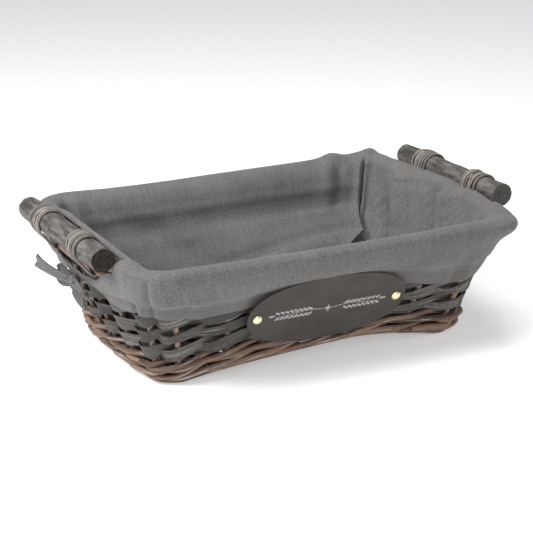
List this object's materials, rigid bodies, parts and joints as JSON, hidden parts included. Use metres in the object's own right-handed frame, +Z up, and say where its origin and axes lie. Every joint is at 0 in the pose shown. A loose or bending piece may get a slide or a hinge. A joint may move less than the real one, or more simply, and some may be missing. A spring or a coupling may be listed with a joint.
{
  "type": "bread basket",
  "caption": "Rectangular twined willow bread basket with a tied linen liner folded over the rim, log handles lashed to both short sides and a blank oval plaque.",
  "frame": {"origin": "on the floor, in the middle of the whole basket's bounding box", "axes": "+X along the basket's length, from handle to handle; +Y away from the side with the plaque; +Z up"},
  "size_m": [0.4604, 0.3006, 0.1462],
  "materials": {
    "bark_rod": "round willow rods with the bark on, brown with pale rubbed stretches",
    "willow_stake": "peeled willow, pinkish tan, dry and matt",
    "grey_chip": "split wood strips, weathered grey wash, dry and matt",
    "log_wood": "natural log with grey washed bark and dark end grain, matt",
    "peel_lashing": "split peel strips, pale straw, soft sheen",
    "linen": "grey linen and cotton weave, washed and soft",
    "leather": "dark brown pressed leather, fine grain, soft sheen",
    "brass": "domed brass, lightly worn"
  },
  "bodies": {
    "root": {"foot_ring": "bark_rod", "base_stick_1": "willow_stake", "base_stick_2": "willow_stake", "base_stick_3": "willow_stake", "base_weaver": "grey_chip", "stake_1": "willow_stake", "stake_2": "willow_stake", "stake_3": "willow_stake", "stake_4": "willow_stake", "stake_5": "willow_stake", "stake_6": "willow_stake", "stake_7": "willow_stake", "stake_8": "willow_stake", "stake_9": "willow_stake", "stake_10": "willow_stake", "stake_11": "willow_stake", "stake_12": "willow_stake", "stake_13": "willow_stake", "stake_14": "willow_stake", "stake_15": "willow_stake", "stake_16": "willow_stake", "stake_17": "willow_stake", "stake_18": "willow_stake", "stake_19": "willow_stake", "stake_20": "willow_stake", "stake_21": "willow_stake", "stake_22": "willow_stake", "stake_23": "willow_stake", "stake_24": "willow_stake", "wale_rod_1a": "bark_rod", "wale_rod_1b": "bark_rod", "wale_rod_2a": "bark_rod", "wale_rod_2b": "bark_rod", "chip_strand_1a": "grey_chip", "chip_strand_1b": "grey_chip", "chip_strand_2a": "grey_chip", "chip_strand_2b": "grey_chip", "chip_strand_3a": "grey_chip", "chip_strand_3b": "grey_chip", "chip_strand_4a": "grey_chip", "chip_strand_4b": "grey_chip", "rim_rod_inner": "bark_rod", "rim_rod_top": "bark_rod", "rim_rod_crown": "bark_rod", "rim_rod_outer_lower": "bark_rod", "rim_rod_outer_upper": "bark_rod", "log_handle_left": "log_wood", "lashing_left_front": "peel_lashing", "lashing_left_back": "peel_lashing", "tie_left": "linen", "log_handle_right": "log_wood", "lashing_right_front": "peel_lashing", "lashing_right_back": "peel_lashing", "tie_right": "linen", "liner": "linen", "plaque": "leather", "stud_left": "brass", "stud_right": "brass"}
  },
  "joints": []
}
